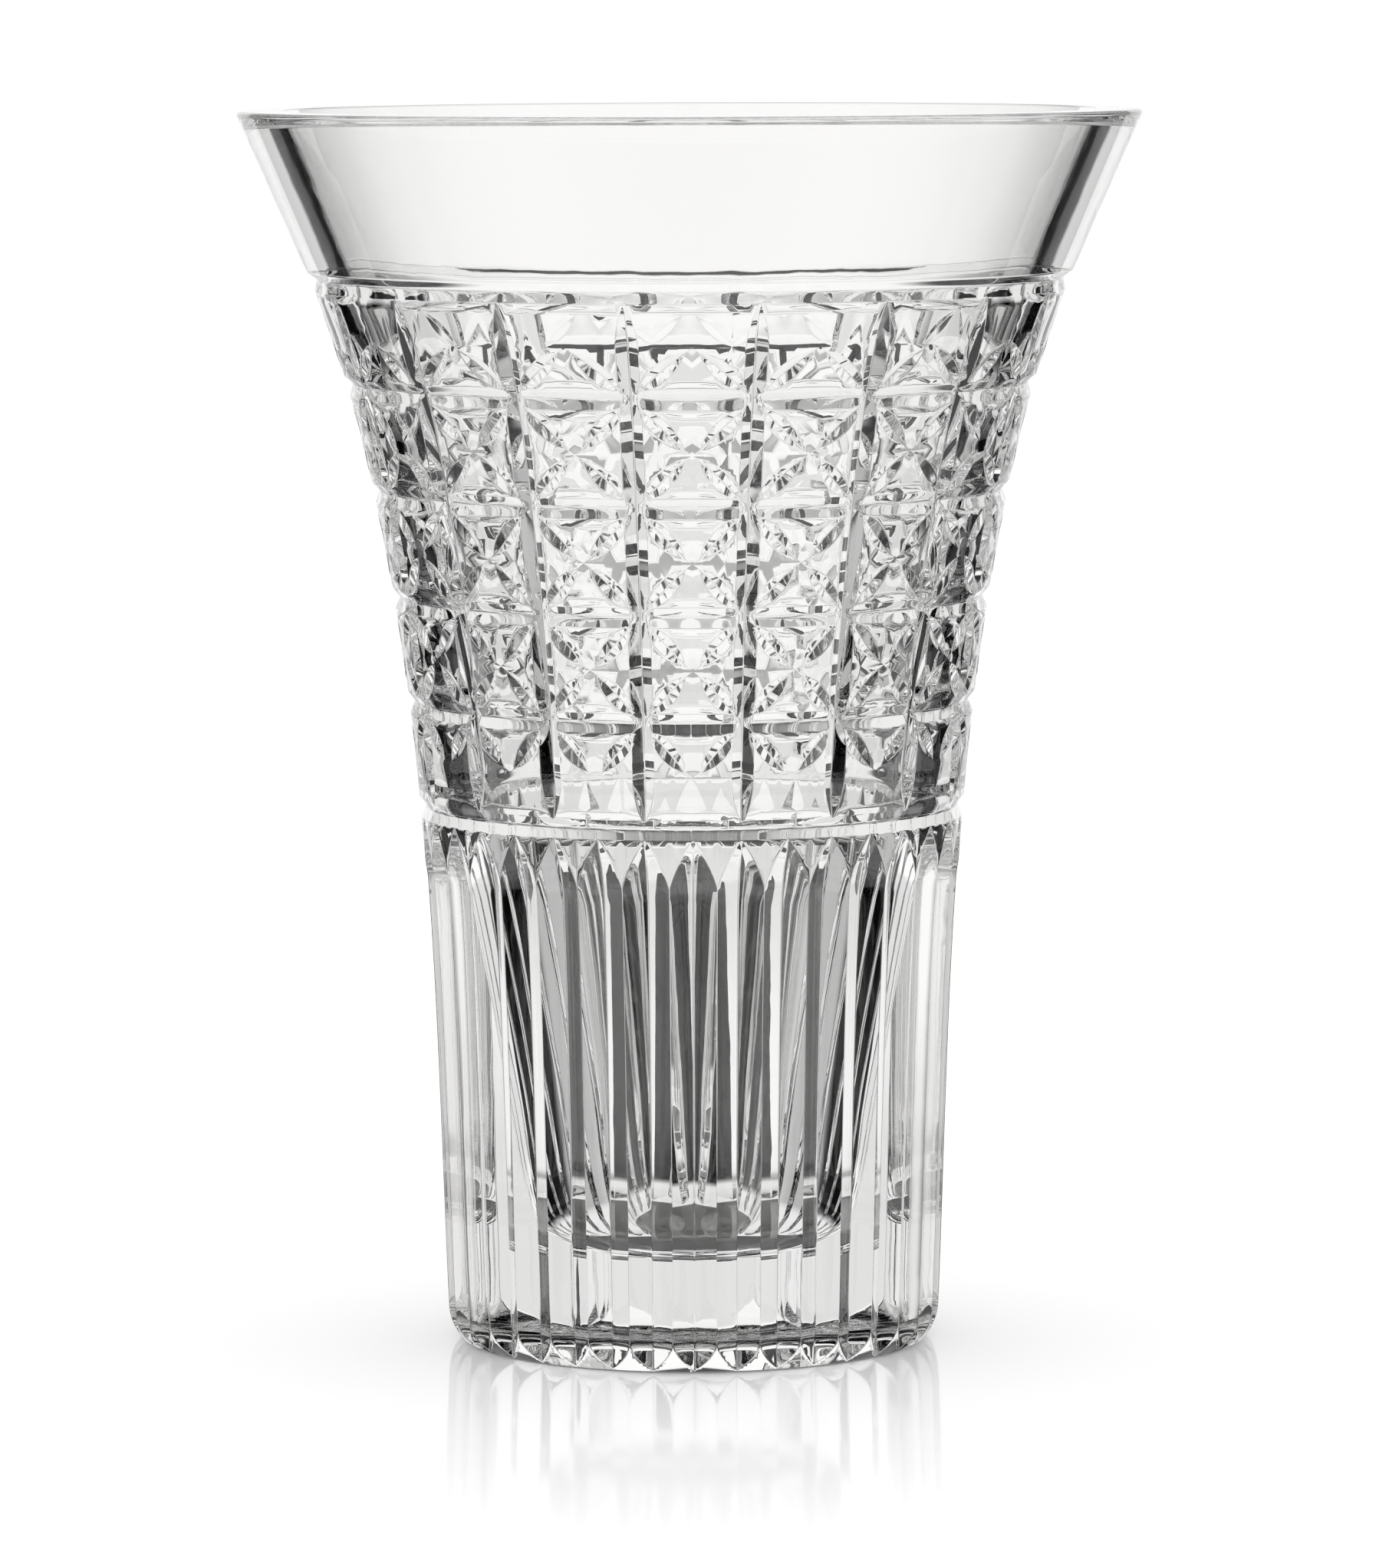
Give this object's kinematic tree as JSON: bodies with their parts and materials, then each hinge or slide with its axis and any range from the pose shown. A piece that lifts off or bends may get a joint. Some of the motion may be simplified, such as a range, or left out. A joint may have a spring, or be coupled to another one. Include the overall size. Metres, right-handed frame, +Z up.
{
  "type": "cut crystal vase",
  "caption": "Tall flared vase of thick clear crystal, cut outside with a grid of grooves and leaf cuts over a fluted lower body, with a plain band under the rim.",
  "frame": {"origin": "centre of the flat underside that the vase stands on", "axes": "+Z up along the vase's axis of revolution, from the base to the mouth; -Y is the side seen as the front, and a panel's centre faces it"},
  "size_m": [0.1976, 0.1976, 0.27],
  "materials": {
    "clear_crystal": "clear colourless crystal, polished inside and out, with sharp polished wheel cuts"
  },
  "bodies": {
    "root": {"vase_body": "clear_crystal"}
  },
  "joints": []
}
